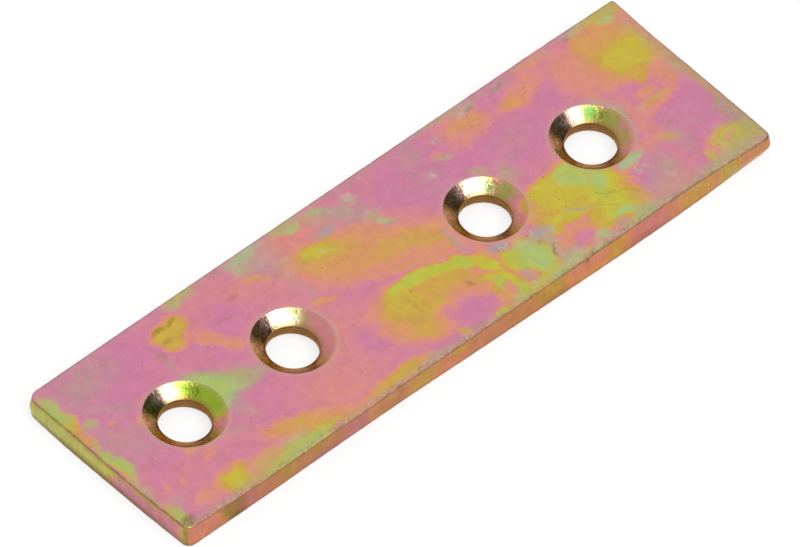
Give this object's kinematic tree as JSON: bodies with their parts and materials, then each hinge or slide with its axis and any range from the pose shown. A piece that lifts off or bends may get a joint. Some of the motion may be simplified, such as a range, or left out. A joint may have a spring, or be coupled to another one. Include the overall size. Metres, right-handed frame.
{
  "type": "mending plate",
  "caption": "Flat rectangular steel mending plate with countersunk screw holes in one row, a pair near each end, for bracing a butt joint between two members.",
  "frame": {"origin": "centre of the flat back face, on the surface that the plate lies on", "axes": "+X along the plate's length, +Y across its width, +Z out of the countersunk front face"},
  "size_m": [0.075, 0.022, 0.0025],
  "materials": {
    "passivated_zinc": "yellow chromate passivation over zinc on steel, satin, with an iridescent pink, gold and green film"
  },
  "bodies": {
    "root": {"mending_plate": "passivated_zinc"}
  },
  "joints": []
}
